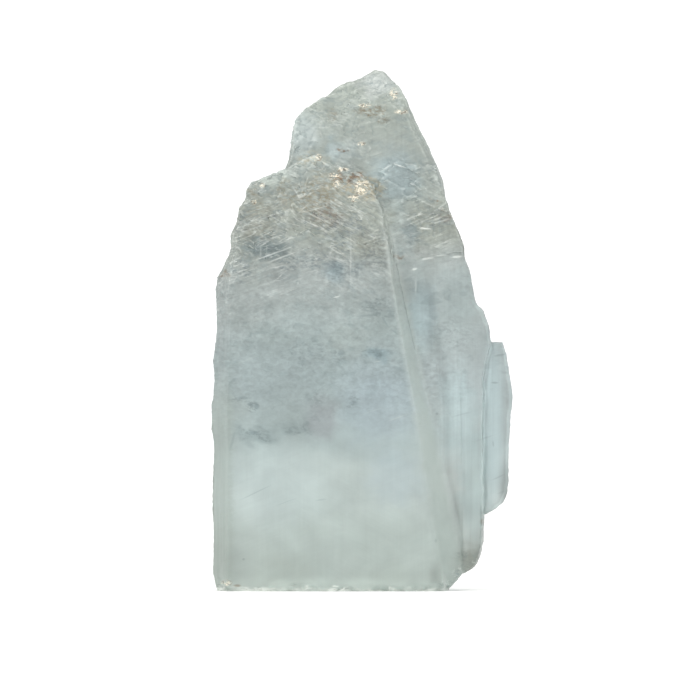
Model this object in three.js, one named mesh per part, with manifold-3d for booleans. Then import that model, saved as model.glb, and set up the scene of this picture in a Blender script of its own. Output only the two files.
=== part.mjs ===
// Selenite slab: one cleaved, free-standing block of gypsum, 130 mm tall.
//
// Selenite splits into perfectly flat sheets, so the block is a stack of parallel plates that grew as one
// crystal: a tall pointed blade in the middle, a thick front plate with a slanting facet down its right side,
// a thin flake low on the right, and a back plate. Thin ledges stand on the plates where cleavage sheets have
// flaked off. The tops are broken: rugged slopes run from the flat faces up to the torn edges. The foot is
// broken off flat.
//
// Millimetres, +Z up, +X to the right and -Y towards the front face. The origin is under the middle of the
// block's box.
import * as THREE from "three";
import Module from "manifold-3d";
import { mergeVertices } from "three/addons/utils/BufferGeometryUtils.js";

const wasm = await Module();
wasm.setup();
const { Manifold, Mesh } = wasm;

// ---- Driving dimensions: the depth of each cleavage plane, from the front to the back ----
const FRONT_FACE = -12; // the broad front face
const BLADE_FRONT = -4.2; // the tall blade's own front
const FLAKE_FRONT = -0.4; // the thin flake, low on the right
const FLAKE_BACK = 4.6;
const BLADE_BACK = 6.6;
const BACK_FACE = 12; // the broad back face
const OVERLAP = 1.5; // how deep one plate reaches into the next, so that they join
const STEP = 1.4; // height of the square step where a plate stands on the blade
const RIM = 1.0; // depth of the bevel round the edges of the blade and the flake
const BELOW = 3; // how far the outlines run below the foot before it is cut flat

const EDGE_PITCH = 3.0; // length of the facets along a broken edge
const EDGE_JAG = 0.3; // how far a broken edge wanders
const FACET_BEVEL = 1.5; // a bevel wider than this is a grown facet, whose edge is straighter
const FACET_JAG = 0.08;
const BEVEL_REACH = 3; // facets on each side that set which way a bevel slopes
const SHEET_STEP = 0.9; // how far the edge of one cleavage sheet may stand back from the outline
const FRACTURE_PITCH = 1.7; // grid of the rugged slopes
const FRACTURE_WIDTH = [-41, 31]; // from side to side, past the plates that they cut

// ---- Noise: repeatable, smooth, from -1 to 1 ----
function hash(x, y, z) {
  let h = Math.imul(x, 374761393) ^ Math.imul(y, 668265263) ^ Math.imul(z, 2147483629);
  h = Math.imul(h ^ (h >>> 13), 1274126177);
  return (((h ^ (h >>> 16)) >>> 0) / 4294967295) * 2 - 1;
}

function noise(x, y, z) {
  const cell = [Math.floor(x), Math.floor(y), Math.floor(z)];
  const t = [x - cell[0], y - cell[1], z - cell[2]].map((f) => f * f * (3 - 2 * f));
  let sum = 0;
  for (let corner = 0; corner < 8; corner++) {
    const on = [corner & 1, (corner >> 1) & 1, corner >> 2];
    const weight = on.reduce((w, bit, axis) => w * (bit ? t[axis] : 1 - t[axis]), 1);
    sum += weight * hash(cell[0] + on[0], cell[1] + on[1], cell[2] + on[2]);
  }
  return sum;
}

// Sharp crests between smooth hollows, from 0 to 1.
const ridges = (x, y, z) => 1 - Math.abs(noise(x, y, z));
const clamp01 = (t) => Math.min(1, Math.max(0, t));
const smooth = (from, to, v) => {
  const t = clamp01((v - from) / (to - from));
  return t * t * (3 - 2 * t);
};

// ---- Solids ----
// A closed geometry as a solid, with the vertices that its faces share merged.
function closed(geometry) {
  geometry.deleteAttribute("normal");
  geometry.deleteAttribute("uv");
  const merged = mergeVertices(geometry, 1e-4);
  return new Manifold(
    new Mesh({
      numProp: 3,
      vertProperties: merged.attributes.position.array,
      triVerts: new Uint32Array(merged.index.array),
    }),
  );
}

function solid(positions, triangles) {
  const geometry = new THREE.BufferGeometry();
  geometry.setAttribute("position", new THREE.Float32BufferAttribute(positions, 3));
  geometry.setIndex(triangles);
  return closed(geometry);
}

// An outline is a list of [x, z, bevel], anticlockwise seen from the front. This cuts its sides into short
// facets and makes them wander, so that they look broken and not sawn. The foot's line, below zero, stays
// straight.
function jagged(outline, seed) {
  const points = [];
  outline.forEach(([x0, z0, bevel0], i) => {
    const [x1, z1, bevel1] = outline[(i + 1) % outline.length];
    const length = Math.hypot(x1 - x0, z1 - z0);
    const count = z0 < 0 && z1 < 0 ? 1 : Math.max(1, Math.round(length / EDGE_PITCH));
    for (let k = 0; k < count; k++) {
      const t = k / count;
      const bevel = bevel0 + (bevel1 - bevel0) * t;
      const across = (bevel > FACET_BEVEL ? FACET_JAG : EDGE_JAG) * noise(x0 * 3 + k * 1.7, z0 * 3, seed);
      points.push([
        x0 + (x1 - x0) * t + (across * (z1 - z0)) / length,
        z0 + (z1 - z0) * t - (across * (x1 - x0)) / length,
        bevel,
      ]);
    }
  });
  return points;
}

// The same outline, drawn in at each point by its bevel times a share, and by as much as the edge of that
// cleavage sheet stands back there. The way in is averaged over a few facets.
function drawnIn(points, share, sheet) {
  const n = points.length;
  const inwards = points.map(([x, z], i) => {
    const [nextX, nextZ] = points[(i + 1) % n];
    return new THREE.Vector2(z - nextZ, nextX - x).normalize();
  });
  return points.map(([x, z, bevel], i) => {
    const way = new THREE.Vector2();
    for (let k = -BEVEL_REACH; k < BEVEL_REACH; k++) way.add(inwards[(i + k + n) % n]);
    const back = sheet ? SHEET_STEP * clamp01(0.4 + noise(x * 0.07, z * 0.07, sheet * 5.3)) : 0;
    way.setLength(bevel * share + back);
    return [x + way.x, z + way.y];
  });
}

// A flat outline as triangles, each anticlockwise.
function anticlockwise(contour) {
  return THREE.ShapeUtils.triangulateShape(contour, []).map(([a, b, c]) => {
    const turn = contour[b].clone().sub(contour[a]).cross(contour[c].clone().sub(contour[a]));
    return turn > 0 ? [a, b, c] : [a, c, b];
  });
}

// Rings for a plate's side where sheets of those thicknesses end one behind the other, each with its own
// edge.
function sheets(from, to, thicknesses, seed) {
  const total = thicknesses.reduce((sum, t) => sum + t);
  let depth = from;
  return thicknesses.flatMap((thickness, i) => {
    const start = depth;
    depth += ((to - from) * thickness) / total;
    return [[start, 0, seed + i], [depth, 0, seed + i]];
  });
}

// A plate through rings [depth, share of the bevel, cleavage sheet], from front to back. Its ends are flat.
function plate(outline, rings, seed) {
  const points = jagged(outline, seed);
  const n = points.length;
  const loops = rings.map(([, share, sheet]) => drawnIn(points, share, sheet));
  const positions = loops.flatMap((loop, ring) => loop.flatMap(([x, z]) => [x, rings[ring][0], z]));
  const triangles = [];
  for (let ring = 0; ring + 1 < rings.length; ring++)
    for (let i = 0; i < n; i++) {
      const a = ring * n + i;
      const b = ring * n + ((i + 1) % n);
      triangles.push(a, a + n, b, b, a + n, b + n);
    }
  const contour = (loop) => loop.map(([x, z]) => new THREE.Vector2(x, z));
  const last = (rings.length - 1) * n;
  for (const face of anticlockwise(contour(loops[0]))) triangles.push(...face);
  for (const [a, b, c] of anticlockwise(contour(loops.at(-1)))) triangles.push(last + c, last + b, last + a);
  return solid(positions, triangles);
}

// Everything in front of a rugged surface y = depth(x, z), or behind it if side is 1. It is cut from a plate.
function fracture([z0, z1], depth, side) {
  const [x0, x1] = FRACTURE_WIDTH;
  const nx = Math.round((x1 - x0) / FRACTURE_PITCH);
  const nz = Math.round((z1 - z0) / FRACTURE_PITCH);
  const far = side * (BACK_FACE + 8);
  const positions = [];
  const triangles = [];
  const at = (layer, i, k) => layer * (nx + 1) * (nz + 1) + k * (nx + 1) + i;
  for (const layer of [0, 1])
    for (let k = 0; k <= nz; k++)
      for (let i = 0; i <= nx; i++) {
        const x = x0 + ((x1 - x0) * i) / nx;
        const z = z0 + ((z1 - z0) * k) / nz;
        positions.push(x, layer ? far : depth(x, z), z);
      }
  const quad = (a, b, c, d) => {
    if (side < 0) triangles.push(a, c, b, a, d, c);
    else triangles.push(a, b, c, a, c, d);
  };
  for (let k = 0; k < nz; k++)
    for (let i = 0; i < nx; i++) {
      quad(at(0, i, k), at(0, i + 1, k), at(0, i + 1, k + 1), at(0, i, k + 1));
      quad(at(1, i, k), at(1, i, k + 1), at(1, i + 1, k + 1), at(1, i + 1, k));
    }
  for (let i = 0; i < nx; i++) {
    quad(at(0, i, 0), at(1, i, 0), at(1, i + 1, 0), at(0, i + 1, 0));
    quad(at(0, i, nz), at(0, i + 1, nz), at(1, i + 1, nz), at(1, i, nz));
  }
  for (let k = 0; k < nz; k++) {
    quad(at(0, 0, k), at(0, 0, k + 1), at(1, 0, k + 1), at(1, 0, k));
    quad(at(0, nx, k), at(1, nx, k), at(1, nx, k + 1), at(0, nx, k + 1));
  }
  return solid(positions, triangles);
}

// A chip: a lumpy ball that leaves a shell-shaped hollow where it is cut away.
function chip(x, y, z, radius, seed) {
  const ball = new THREE.IcosahedronGeometry(1, 1);
  const points = ball.attributes.position;
  for (let i = 0; i < points.count; i++) {
    const way = new THREE.Vector3().fromBufferAttribute(points, i);
    way.multiplyScalar(radius * (1 + 0.28 * noise(way.x * 1.7, way.y * 1.7 + seed, way.z * 1.7)));
    points.setXYZ(i, x + way.x, y + way.y, z + way.z);
  }
  return closed(ball);
}

// ---- Outlines: [x, z, bevel] ----
// The left side, from the shoulder down to the foot. All three plates end there, and a narrow facet slopes
// along it.
const leftSide = [
  [-27.4, 102.0, 0.8],
  [-29.0, 99.8, 0.8],
  [-29.0, 97.8, 0.8],
  [-30.8, 95.4, 0.8],
  [-31.4, 92.0, 1.0],
  [-32.3, 89.4, 1.4],
  [-32.6, 84.8, 2.0],
  [-34.2, 81.8, 2.4],
  [-35.8, 78.6, 2.8],
  [-36.3, 75.6, 3.2],
  [-36.3, 65.0, 3.6],
  [-37.3, 57.6, 4.2],
  [-36.9, 52.6, 4.0],
  [-37.6, 46.0, 4.2],
  [-37.5, 40.5, 4.2],
  [-37.0, 34.8, 4.0],
  [-37.4, 23.5, 4.2],
  [-37.1, 17.0, 4.0],
  [-37.1, 4.0, 3.8],
  [-36.5, 2.0, 3.2],
  [-36.2, -BELOW, 3.2],
];
const leftSideWith = (share, inset) => leftSide.map(([x, z, bevel]) => [x + inset, z, bevel * share]);

// The front plate. Its top is torn, and the facet down its right side widens towards the foot.
const frontPlate = [
  [21.0, -BELOW, 1.6],
  [21.6, 0.6, 2.0],
  [24.8, 3.6, 5.2],
  [25.0, 8.0, 6.0],
  [24.4, 14.0, 6.4],
  [22.8, 21.5, 6.2],
  [20.6, 31.0, 5.4],
  [19.0, 39.5, 4.6],
  [16.4, 47.0, 3.4],
  [13.4, 59.5, 2.7],
  [10.0, 75.0, 2.1],
  [7.6, 87.0, 1.6],
  [5.2, 95.5, 1.0],
  [3.0, 101.0, 0.8],
  [0.2, 104.0, 0.8],
  [-4.2, 105.6, 0.8],
  [-8.4, 106.4, 0.8],
  [-11.8, 108.6, 0.8],
  [-15.4, 107.6, 0.8],
  [-19.0, 105.2, 0.8],
  [-24.6, 103.4, 0.8],
  ...leftSide,
];

// The tall blade behind it: a torn summit left of a long, stepped right edge.
const blade = [
  [21.6, -BELOW, 0.8],
  [21.9, 0.5, 1.0],
  [23.2, 2.1, 1.2],
  [25.4, 3.9, 1.4],
  [27.2, 4.5, 1.2],
  [28.8, 6.0, 1.0],
  [29.7, 8.2, 0.8],
  [30.3, 12.0, 0.6],
  [30.4, 22.0, 0.4],
  [30.5, 40.0, 0.4],
  [30.7, 52.0, 0.4],
  [32.3, 61.0, 0.6],
  [32.3, 64.0, 0.8],
  [31.8, 66.4, 0.8],
  [30.4, 70.0, 1.2],
  [28.4, 72.0, 1.0],
  [27.5, 76.0, 1.0],
  [26.8, 80.2, 1.2],
  [25.6, 83.4, 1.2],
  [25.2, 86.8, 1.2],
  [23.9, 90.4, 1.2],
  [22.1, 94.2, 1.4],
  [20.8, 98.6, 1.4],
  [20.1, 102.4, 1.4],
  [18.6, 106.4, 1.6],
  [15.9, 112.2, 1.6],
  [13.0, 118.0, 1.8],
  [11.3, 122.4, 2.0],
  [9.3, 126.2, 2.0],
  [7.4, 128.2, 1.6],
  [5.2, 129.8, 1.4],
  [3.4, 130.0, 1.4],
  [1.6, 129.3, 1.4],
  [-0.4, 128.0, 1.4],
  [-3.2, 127.2, 1.4],
  [-5.8, 126.4, 1.4],
  [-8.6, 124.0, 1.4],
  [-12.2, 122.4, 1.4],
  [-14.8, 120.2, 1.4],
  [-16.5, 118.0, 1.4],
  [-16.7, 115.6, 1.2],
  [-17.5, 112.2, 1.0],
  [-18.1, 108.4, 0.8],
  [-19.3, 106.0, 0.8],
  [-21.0, 103.6, 0.8],
  [-24.6, 102.8, 0.8],
  ...leftSideWith(0, 0.2),
];

// The thin flake low on the right.
const flake = [
  [26.0, 24.0, 0],
  [30.6, 19.2, 0.4],
  [33.0, 20.0, 0.6],
  [35.3, 21.8, 0.8],
  [36.2, 24.4, 0.9],
  [36.6, 27.0, 0.9],
  [36.9, 36.0, 1.0],
  [37.4, 43.0, 1.1],
  [37.6, 48.0, 1.1],
  [37.3, 53.0, 1.1],
  [36.8, 56.6, 1.0],
  [36.1, 60.2, 0.8],
  [35.3, 62.2, 0.6],
  [32.4, 62.4, 0.4],
  [26.0, 60.0, 0],
];

// The back plate, with a broken top that climbs to the right.
const backPlate = [
  [20.6, -BELOW, 2.4],
  [21.4, 4.0, 3.6],
  [22.8, 16.0, 3.8],
  [21.6, 30.0, 3.4],
  [21.9, 46.0, 3.0],
  [19.8, 60.0, 2.6],
  [18.4, 74.0, 2.2],
  [15.6, 88.0, 1.8],
  [12.2, 98.6, 1.4],
  [6.6, 103.4, 1.0],
  [1.4, 101.2, 1.0],
  [-5.0, 99.4, 1.0],
  [-10.2, 95.4, 1.0],
  [-17.0, 94.6, 1.0],
  [-22.4, 91.2, 1.0],
  [-27.4, 90.4, 1.0],
  ...leftSideWith(0.7, 0.5).filter(([, z]) => z < 86),
];

// Sheets left standing on the blade's front: [height of the ledge, outline].
const frontLedges = [
  [
    1.0, // the torn skin over the blade's upper half, with its broken lower lip
    [
      [2.0, 82.0, 0.3],
      [12.6, 82.2, 0.3],
      [16.2, 83.4, 0.3],
      [20.4, 84.0, 0.3],
      [25.2, 84.6, 0.3],
      [23.6, 90.4, 0.5],
      [20.4, 98.6, 0.5],
      [18.4, 106.0, 0.6],
      [12.8, 106.8, 0.8],
      [8.4, 107.0, 0.8],
      [5.2, 104.4, 0.8],
      [2.0, 98.0, 0.8],
    ],
  ],
  [
    1.2, // beside the foot of the front plate's facet
    [
      [12.0, 10.0, 0.3],
      [25.0, 11.0, 0.3],
      [23.6, 21.0, 0.4],
      [21.4, 29.0, 0.4],
      [20.0, 35.0, 0.5],
      [19.9, 48.0, 0.5],
      [18.8, 58.0, 0.5],
      [10.0, 62.0, 0.5],
    ],
  ],
  [
    0.6, // the next step down, to the right of it
    [
      [12.0, 6.0, 0.3],
      [26.0, 6.4, 0.3],
      [25.0, 12.0, 0.3],
      [24.9, 36.0, 0.3],
      [24.7, 54.0, 0.3],
      [23.0, 66.0, 0.3],
      [10.0, 70.0, 0.3],
    ],
  ],
];

// Sheets left standing on the back face.
const backLedges = [
  [
    0.9,
    [
      [-31.2, -BELOW, 0.4],
      [-7.4, -BELOW, 0.4],
      [-4.6, 17.0, 0.4],
      [-2.0, 38.0, 0.4],
      [-5.2, 62.0, 0.5],
      [-9.0, 79.0, 0.6],
      [-20.0, 73.0, 0.6],
      [-31.0, 60.0, 0.4],
      [-31.4, 30.0, 0.4],
    ],
  ],
];

// Chips knocked out of the edges: [x, y, z, radius].
const chips = [
  [-39.4, FRONT_FACE - 0.4, -2.4, 6.4],
  [-41.0, 3.0, -1.4, 6.0],
  [-27.0, FRONT_FACE - 2.6, -2.0, 4.2],
  [-20.6, FRONT_FACE - 2.6, -2.2, 3.9],
  [-12.4, FRONT_FACE - 3.6, -2.6, 5.2],
  [-3.6, FRONT_FACE - 2.6, -2.4, 4.0],
  [4.2, FRONT_FACE - 2.8, -1.6, 4.0],
  [11.8, FRONT_FACE - 2.4, -2.0, 4.0],
  [19.4, FRONT_FACE - 1.4, -1.8, 4.4],
  [25.6, FRONT_FACE + 3.4, -0.6, 5.0],
  [28.6, -5.6, 0.6, 5.2],
  [32.4, -5.2, 5.4, 4.4],
  [31.4, BLADE_BACK + 1.2, 1.0, 6.4],
  [-22.0, BACK_FACE + 3.4, -2.4, 5.6],
  [3.0, BACK_FACE + 3.6, -2.4, 5.8],
  [22.4, BACK_FACE + 1.6, 2.0, 6.4],
  [-38.8, BACK_FACE + 1.2, 46.0, 6.2],
  [-39.6, BACK_FACE + 0.6, 13.0, 6.4],
  [39.2, FLAKE_FRONT - 1.6, 21.6, 4.0],
  [-32.2, -11.4, 101.4, 4.2],
  [-36.4, -13.0, 89.6, 4.6],
  [10.2, -6.4, 128.8, 4.4],
  [-16.4, -6.4, 122.4, 4.4],
  [16.6, BLADE_BACK + 1.8, 118.6, 5.4],
  [-20.6, BLADE_BACK + 2.2, 111.0, 6.0],
];

// ---- Rugged slopes of the torn tops ----
// Each is the depth of a torn surface. It leaves the flat face along a wandering line, leans in gently at
// first, and then steeply past a second wandering line, the brink.
function lean(x, z, [start, brink, top], [gentle, steep], seed) {
  const from = start + 9 * noise(x * 0.11, z * 0.03, seed);
  const past = brink + 5 * noise(x * 0.13, 9.7, seed);
  return gentle * smooth(from, from + 14, z) + steep * smooth(past, top, z);
}

// Hackles: sharp crests, drawn out along a line that falls to the right by a slope, from 0 to 1.
function hackles(x, z, slope, pitch, seed) {
  const along = x - slope * z;
  const across = slope * x + z;
  const coarse = ridges(along / (3.2 * pitch), across / pitch, seed) ** 2;
  const fine = ridges(along / (1.3 * pitch), across / (0.45 * pitch), seed + 6) ** 2;
  return 0.7 * coarse + 0.3 * fine;
}

// The front plate's top, from the broad face back to the torn edge in front of the blade. The facet on its
// right is left nearly whole.
function frontTop(x, z) {
  const height = z - 0.2 * x;
  const torn = smooth(74, 100, height + 8 * noise(x * 0.12, z * 0.06, 2.5));
  const relief = 2.9 * hackles(x, z, 0.45, 4.6, 1.5) - 1.5;
  return FRONT_FACE - 0.5 + lean(x, height, [80, 93, 109], [1.3, 4.0], 0.5) + relief * torn;
}

// The blade's summit leans in on both sides.
function bladeTop(x, z) {
  const height = z - 0.35 * x;
  const torn = smooth(102, 120, height + 5 * noise(x * 0.14, z * 0.08, 6.5));
  const relief = 2.2 * hackles(x, z, 0.6, 4.0, 9.4) - 1.1;
  return BLADE_FRONT - 0.5 + lean(x, height, [108, 117, 131], [0.9, 3.4], 5.5) + relief * torn;
}

function bladeTopBehind(x, z) {
  const torn = smooth(98, 112, z + 4 * noise(x * 0.12, z * 0.1, 16.5));
  const relief = 2.2 * hackles(x, z, -0.3, 4.4, 19.4) - 1.1;
  return BLADE_BACK + 0.5 - lean(x, z, [102, 113, 132], [0.8, 3.0], 15.5) - relief * torn;
}

// The back plate's top is torn off on a long slope that climbs to the right.
function backTop(x, z) {
  const height = z - 0.35 * x;
  const torn = smooth(64, 84, height + 5 * noise(x * 0.1, z * 0.09, 26.5));
  const relief = 2.6 * hackles(x, z, -0.4, 5.2, 29.4) - 1.4;
  return BACK_FACE + 1.4 - lean(x, height, [68, 78, 100], [1.2, 3.6], 25.5) - relief * torn;
}

// ---- The block ----
// The front plate's facets end in a square step in front of the blade.
const frontEdge = sheets(BLADE_FRONT - STEP, BLADE_FRONT + OVERLAP, [1], 3);
const frontPiece = plate(frontPlate, [[FRONT_FACE, 1], [BLADE_FRONT - STEP, 0], ...frontEdge], 11);
const bladeEdge = sheets(BLADE_FRONT + RIM, BLADE_BACK - RIM, [1.6, 2.6, 1.2, 3.0], 7);
const bladePiece = plate(blade, [[BLADE_FRONT, 1], ...bladeEdge, [BLADE_BACK, 1]], 23);
const flakeEdge = sheets(FLAKE_FRONT + 2 * RIM, FLAKE_BACK - RIM, [1], 13);
const flakeRings = [[FLAKE_FRONT, 1], [FLAKE_FRONT + RIM, 0], ...flakeEdge, [FLAKE_BACK, 1]];
const flakePiece = plate(flake, flakeRings, 37);
const backEdge = sheets(BLADE_BACK - OVERLAP, BLADE_BACK + STEP, [2, 1], 17);
const backPiece = plate(backPlate, [...backEdge, [BACK_FACE, 1]], 41);

const frontLedgePieces = frontLedges.map(([height, outline], i) => {
  const top = BLADE_FRONT - height;
  return plate(outline, [[top, 1], [top + height / 2, 0], [BLADE_FRONT + OVERLAP, 0]], 53 + i);
});
const backLedgePieces = backLedges.map(([height, outline], i) => {
  const top = BACK_FACE + height;
  return plate(outline, [[BACK_FACE - OVERLAP, 0], [top - height / 2, 0], [top, 1]], 71 + i);
});
const pieces = [
  bladePiece.subtract(fracture([96, 133], bladeTop, -1)).subtract(fracture([92, 133], bladeTopBehind, 1)),
  frontPiece.subtract(fracture([64, 112], frontTop, -1)),
  backPiece.subtract(fracture([50, 108], backTop, 1)),
  flakePiece,
  ...frontLedgePieces,
  ...backLedgePieces,
];
const joined = pieces.reduce((all, piece) => all.add(piece));

// Everything below z = 0, cut off to leave the flat foot.
const underFoot = closed(new THREE.BoxGeometry(120, 60, 20).translate(0, 0, -10));

const cutters = [...chips.map(([x, y, z, radius], i) => chip(x, y, z, radius, i * 5.3)), underFoot];
const block = cutters.reduce((left, cutter) => left.subtract(cutter), joined);

// ---- The mesh, set with its origin under the middle of the foot ----
function geometryOf(body) {
  const { numProp, vertProperties, triVerts } = body.getMesh();
  const positions = [];
  for (let i = 0; i < vertProperties.length; i += numProp)
    positions.push(vertProperties[i], vertProperties[i + 1], vertProperties[i + 2]);
  const geometry = new THREE.BufferGeometry();
  geometry.setAttribute("position", new THREE.Float32BufferAttribute(positions, 3));
  geometry.setIndex(Array.from(triVerts));
  geometry.computeBoundingBox();
  const middle = geometry.boundingBox.getCenter(new THREE.Vector3());
  return geometry.translate(-middle.x, -middle.y, 0);
}

const selenite = new THREE.MeshStandardMaterial({
  name: "selenite",
  color: 0xb4c2c0,
  roughness: 0.25,
  metalness: 0,
  transparent: true,
  opacity: 0.8,
  flatShading: true,
});

const slab = new THREE.Mesh(geometryOf(block), selenite);
slab.name = "selenite_slab";

const part = new THREE.Group();
part.name = "selenite_slab_part";
part.add(slab);

export default part;
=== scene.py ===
"""Selenite slab: a see-through, cloudy block of cleaved gypsum, standing on a pale floor."""

import copy
import math

import bmesh
import bpy
import numpy as np
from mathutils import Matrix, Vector

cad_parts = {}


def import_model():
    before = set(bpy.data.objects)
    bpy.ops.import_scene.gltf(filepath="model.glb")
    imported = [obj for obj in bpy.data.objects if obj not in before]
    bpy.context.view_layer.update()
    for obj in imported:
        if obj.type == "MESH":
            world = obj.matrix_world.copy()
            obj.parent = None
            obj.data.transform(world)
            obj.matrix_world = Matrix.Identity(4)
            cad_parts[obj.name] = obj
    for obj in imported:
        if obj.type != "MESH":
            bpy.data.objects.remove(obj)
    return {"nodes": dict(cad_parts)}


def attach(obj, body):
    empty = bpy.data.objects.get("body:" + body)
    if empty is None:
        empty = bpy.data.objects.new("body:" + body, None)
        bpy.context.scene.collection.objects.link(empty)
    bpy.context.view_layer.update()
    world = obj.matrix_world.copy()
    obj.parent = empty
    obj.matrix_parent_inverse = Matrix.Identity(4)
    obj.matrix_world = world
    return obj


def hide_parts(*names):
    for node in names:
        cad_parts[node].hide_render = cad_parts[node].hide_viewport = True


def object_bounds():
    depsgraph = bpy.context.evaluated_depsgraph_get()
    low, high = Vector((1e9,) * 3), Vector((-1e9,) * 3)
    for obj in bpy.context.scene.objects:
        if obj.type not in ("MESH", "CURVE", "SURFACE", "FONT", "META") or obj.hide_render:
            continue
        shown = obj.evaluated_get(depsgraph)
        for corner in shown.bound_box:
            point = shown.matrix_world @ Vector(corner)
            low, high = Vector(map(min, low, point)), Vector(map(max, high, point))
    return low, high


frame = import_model()
CAD_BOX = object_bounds()

# ---- Driving dimensions, in millimetres, in the part's frame: +X right, -Y out of the front face, +Z up ----
MM = 0.001
HEIGHT = (CAD_BOX[1].z - CAD_BOX[0].z) / MM
CELL = 0.30  # grid of the fine surface, before flat places are thinned out
TRIANGLES = 190_000  # what is left of that grid
SHARP = 32  # degrees between faces from which an edge is drawn sharp
SHEET = 0.55  # thickness of the sheets that the torn tops step down in
TERRACED = 0.5  # how far those slopes become flat treads, from 0 to 1
BLADE_FRONT = -4.65  # depths of the tall blade's two faces
BLADE_BACK = 6.15

# Soft edges are pairs: the place where an effect is nothing, and the place where it is whole.
# The slanting facet on the right of the front plate is measured by x + FACET_SLANT * z, as its edges lean.
FACET_SLANT = 0.167
FACET_TAPER = 0.05  # how much faster its right edge comes in
FACET_EDGE = 20.0
FACET_LEFT = (FACET_EDGE - 3, FACET_EDGE - 1)
FACET_RIGHT = (FACET_EDGE + 13, FACET_EDGE + 10)
FACET_TOP = (101, 90)

# The seam is the step between the blade and the flake on its right.
SEAM_LEFT = (28, 29.5)
SEAM_TOP = (66, 60)
SEAM_FOOT = (14, 20)

# The crystal.
REFRACTION = 1.52
CLEARNESS = 0.54  # share of the light that goes in, where nothing clouds the surface
ROUGHNESS = 0.29  # under about 0.275 the denoiser looks through, and draws a line where that begins
RELIEF = 0.15  # height of the finest texture
ABSORBED = (0.5, 0.78, 0.77)
DENSITY = 30.0  # per metre
BATCH = 5  # marks worked out together
UNSEEN = 1e-9  # size of the shift that makes one batch wait for the one before

# The camera looks square on to the front. VIEW_WIDTH is what the frame takes in at VIEW_DEPTH.
VIEW_WIDTH = 174.6
VIEW_DEPTH = -8.0
VIEW_MIDDLE = (-3.1, 60.1)
CAMERA_DISTANCE = 2400.0
SENSOR = 36.0


# ---- Noise: repeatable, smooth, from -1 to 1 ----
def hashed(cells, seed):
    mixed = cells.astype(np.int64) @ np.array([374761393, 668265263, 2147483629]) + seed * 1442695041
    mixed = ((mixed ^ (mixed >> 13)) * 1274126177) & 0xFFFFFFFF
    return ((mixed ^ (mixed >> 16)) & 0xFFFF) / 32767.5 - 1


def noise(points, seed):
    cell = np.floor(points)
    part = points - cell
    part = part**3 * (part * (part * 6 - 15) + 10)
    total = np.zeros(len(points))
    for corner in np.ndindex(2, 2, 2):
        weight = np.prod(np.where(corner, part, 1 - part), axis=1)
        total += weight * hashed(cell + corner, seed)
    return total


def fractal(points, octaves, seed):
    return sum(noise(points * 2.03**k, seed + k) * 0.5**k for k in range(octaves))


def ridged(points, seed):
    """Sharp crests between smooth hollows, from 0 to 1."""
    return 1 - np.abs(noise(points, seed))


def smooth(low, high, value):
    t = np.clip((value - low) / (high - low), 0, 1)
    return t * t * (3 - 2 * t)


def streaks(points, degrees, along, across, seed):
    """Crests drawn out along a line that rises to the right by an angle, as seen from the front."""
    turn = math.radians(degrees)
    run = points[:, 0] * math.cos(turn) + points[:, 2] * math.sin(turn)
    rise = points[:, 2] * math.cos(turn) - points[:, 0] * math.sin(turn)
    return ridged(np.stack([run / along, points[:, 1] / across, rise / across], axis=1), seed)


# ---- The fine surface of the slab ----
def welded_copy(source, name):
    mesh = bpy.data.meshes.new(name)
    work = bmesh.new()
    work.from_mesh(source.data)
    bmesh.ops.remove_doubles(work, verts=work.verts, dist=1e-6)
    work.to_mesh(mesh)
    work.free()
    twin = bpy.data.objects.new(name, mesh)
    bpy.context.scene.collection.objects.link(twin)
    return twin


def apply_modifiers(piece):
    graph = bpy.context.evaluated_depsgraph_get()
    mesh = bpy.data.meshes.new_from_object(piece.evaluated_get(graph))
    piece.modifiers.clear()
    old = piece.data
    piece.data = mesh
    bpy.data.meshes.remove(old)


def remesh(piece, target):
    """An even grid of small faces, laid back on to the faces of the target."""
    grid = piece.modifiers.new("grid", "REMESH")
    grid.mode = "VOXEL"
    grid.voxel_size = CELL * MM
    wrap = piece.modifiers.new("wrap", "SHRINKWRAP")
    wrap.target = target
    wrap.wrap_method = "NEAREST_SURFACEPOINT"
    apply_modifiers(piece)


def read(mesh, what):
    """The places or the normals of a mesh's vertices, a row for each."""
    values = np.empty(len(mesh.vertices) * 3, np.float32)
    getattr(mesh, what).foreach_get("co" if what == "vertices" else "vector", values)
    return values.reshape(-1, 3).astype(float)


def softened(piece, rounds):
    """Where the vertices would lie if each were averaged with its neighbours over and over."""
    soften = piece.modifiers.new("soften", "SMOOTH")
    soften.factor = 0.5
    soften.iterations = rounds
    graph = bpy.context.evaluated_depsgraph_get()
    shape = piece.evaluated_get(graph)
    places = read(shape.to_mesh(), "vertices") / MM
    shape.to_mesh_clear()
    piece.modifiers.clear()
    return places


class Relief:
    """The vertices of a piece in millimetres, with their normals, and a way to write them back."""

    def __init__(self, piece):
        self.piece = piece
        self.places = read(piece.data, "vertices") / MM
        self.normals = read(piece.data, "vertex_normals")

    def store(self):
        self.piece.data.vertices.foreach_set("co", (self.places * MM).astype(np.float32).ravel())
        self.piece.data.update()


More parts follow.
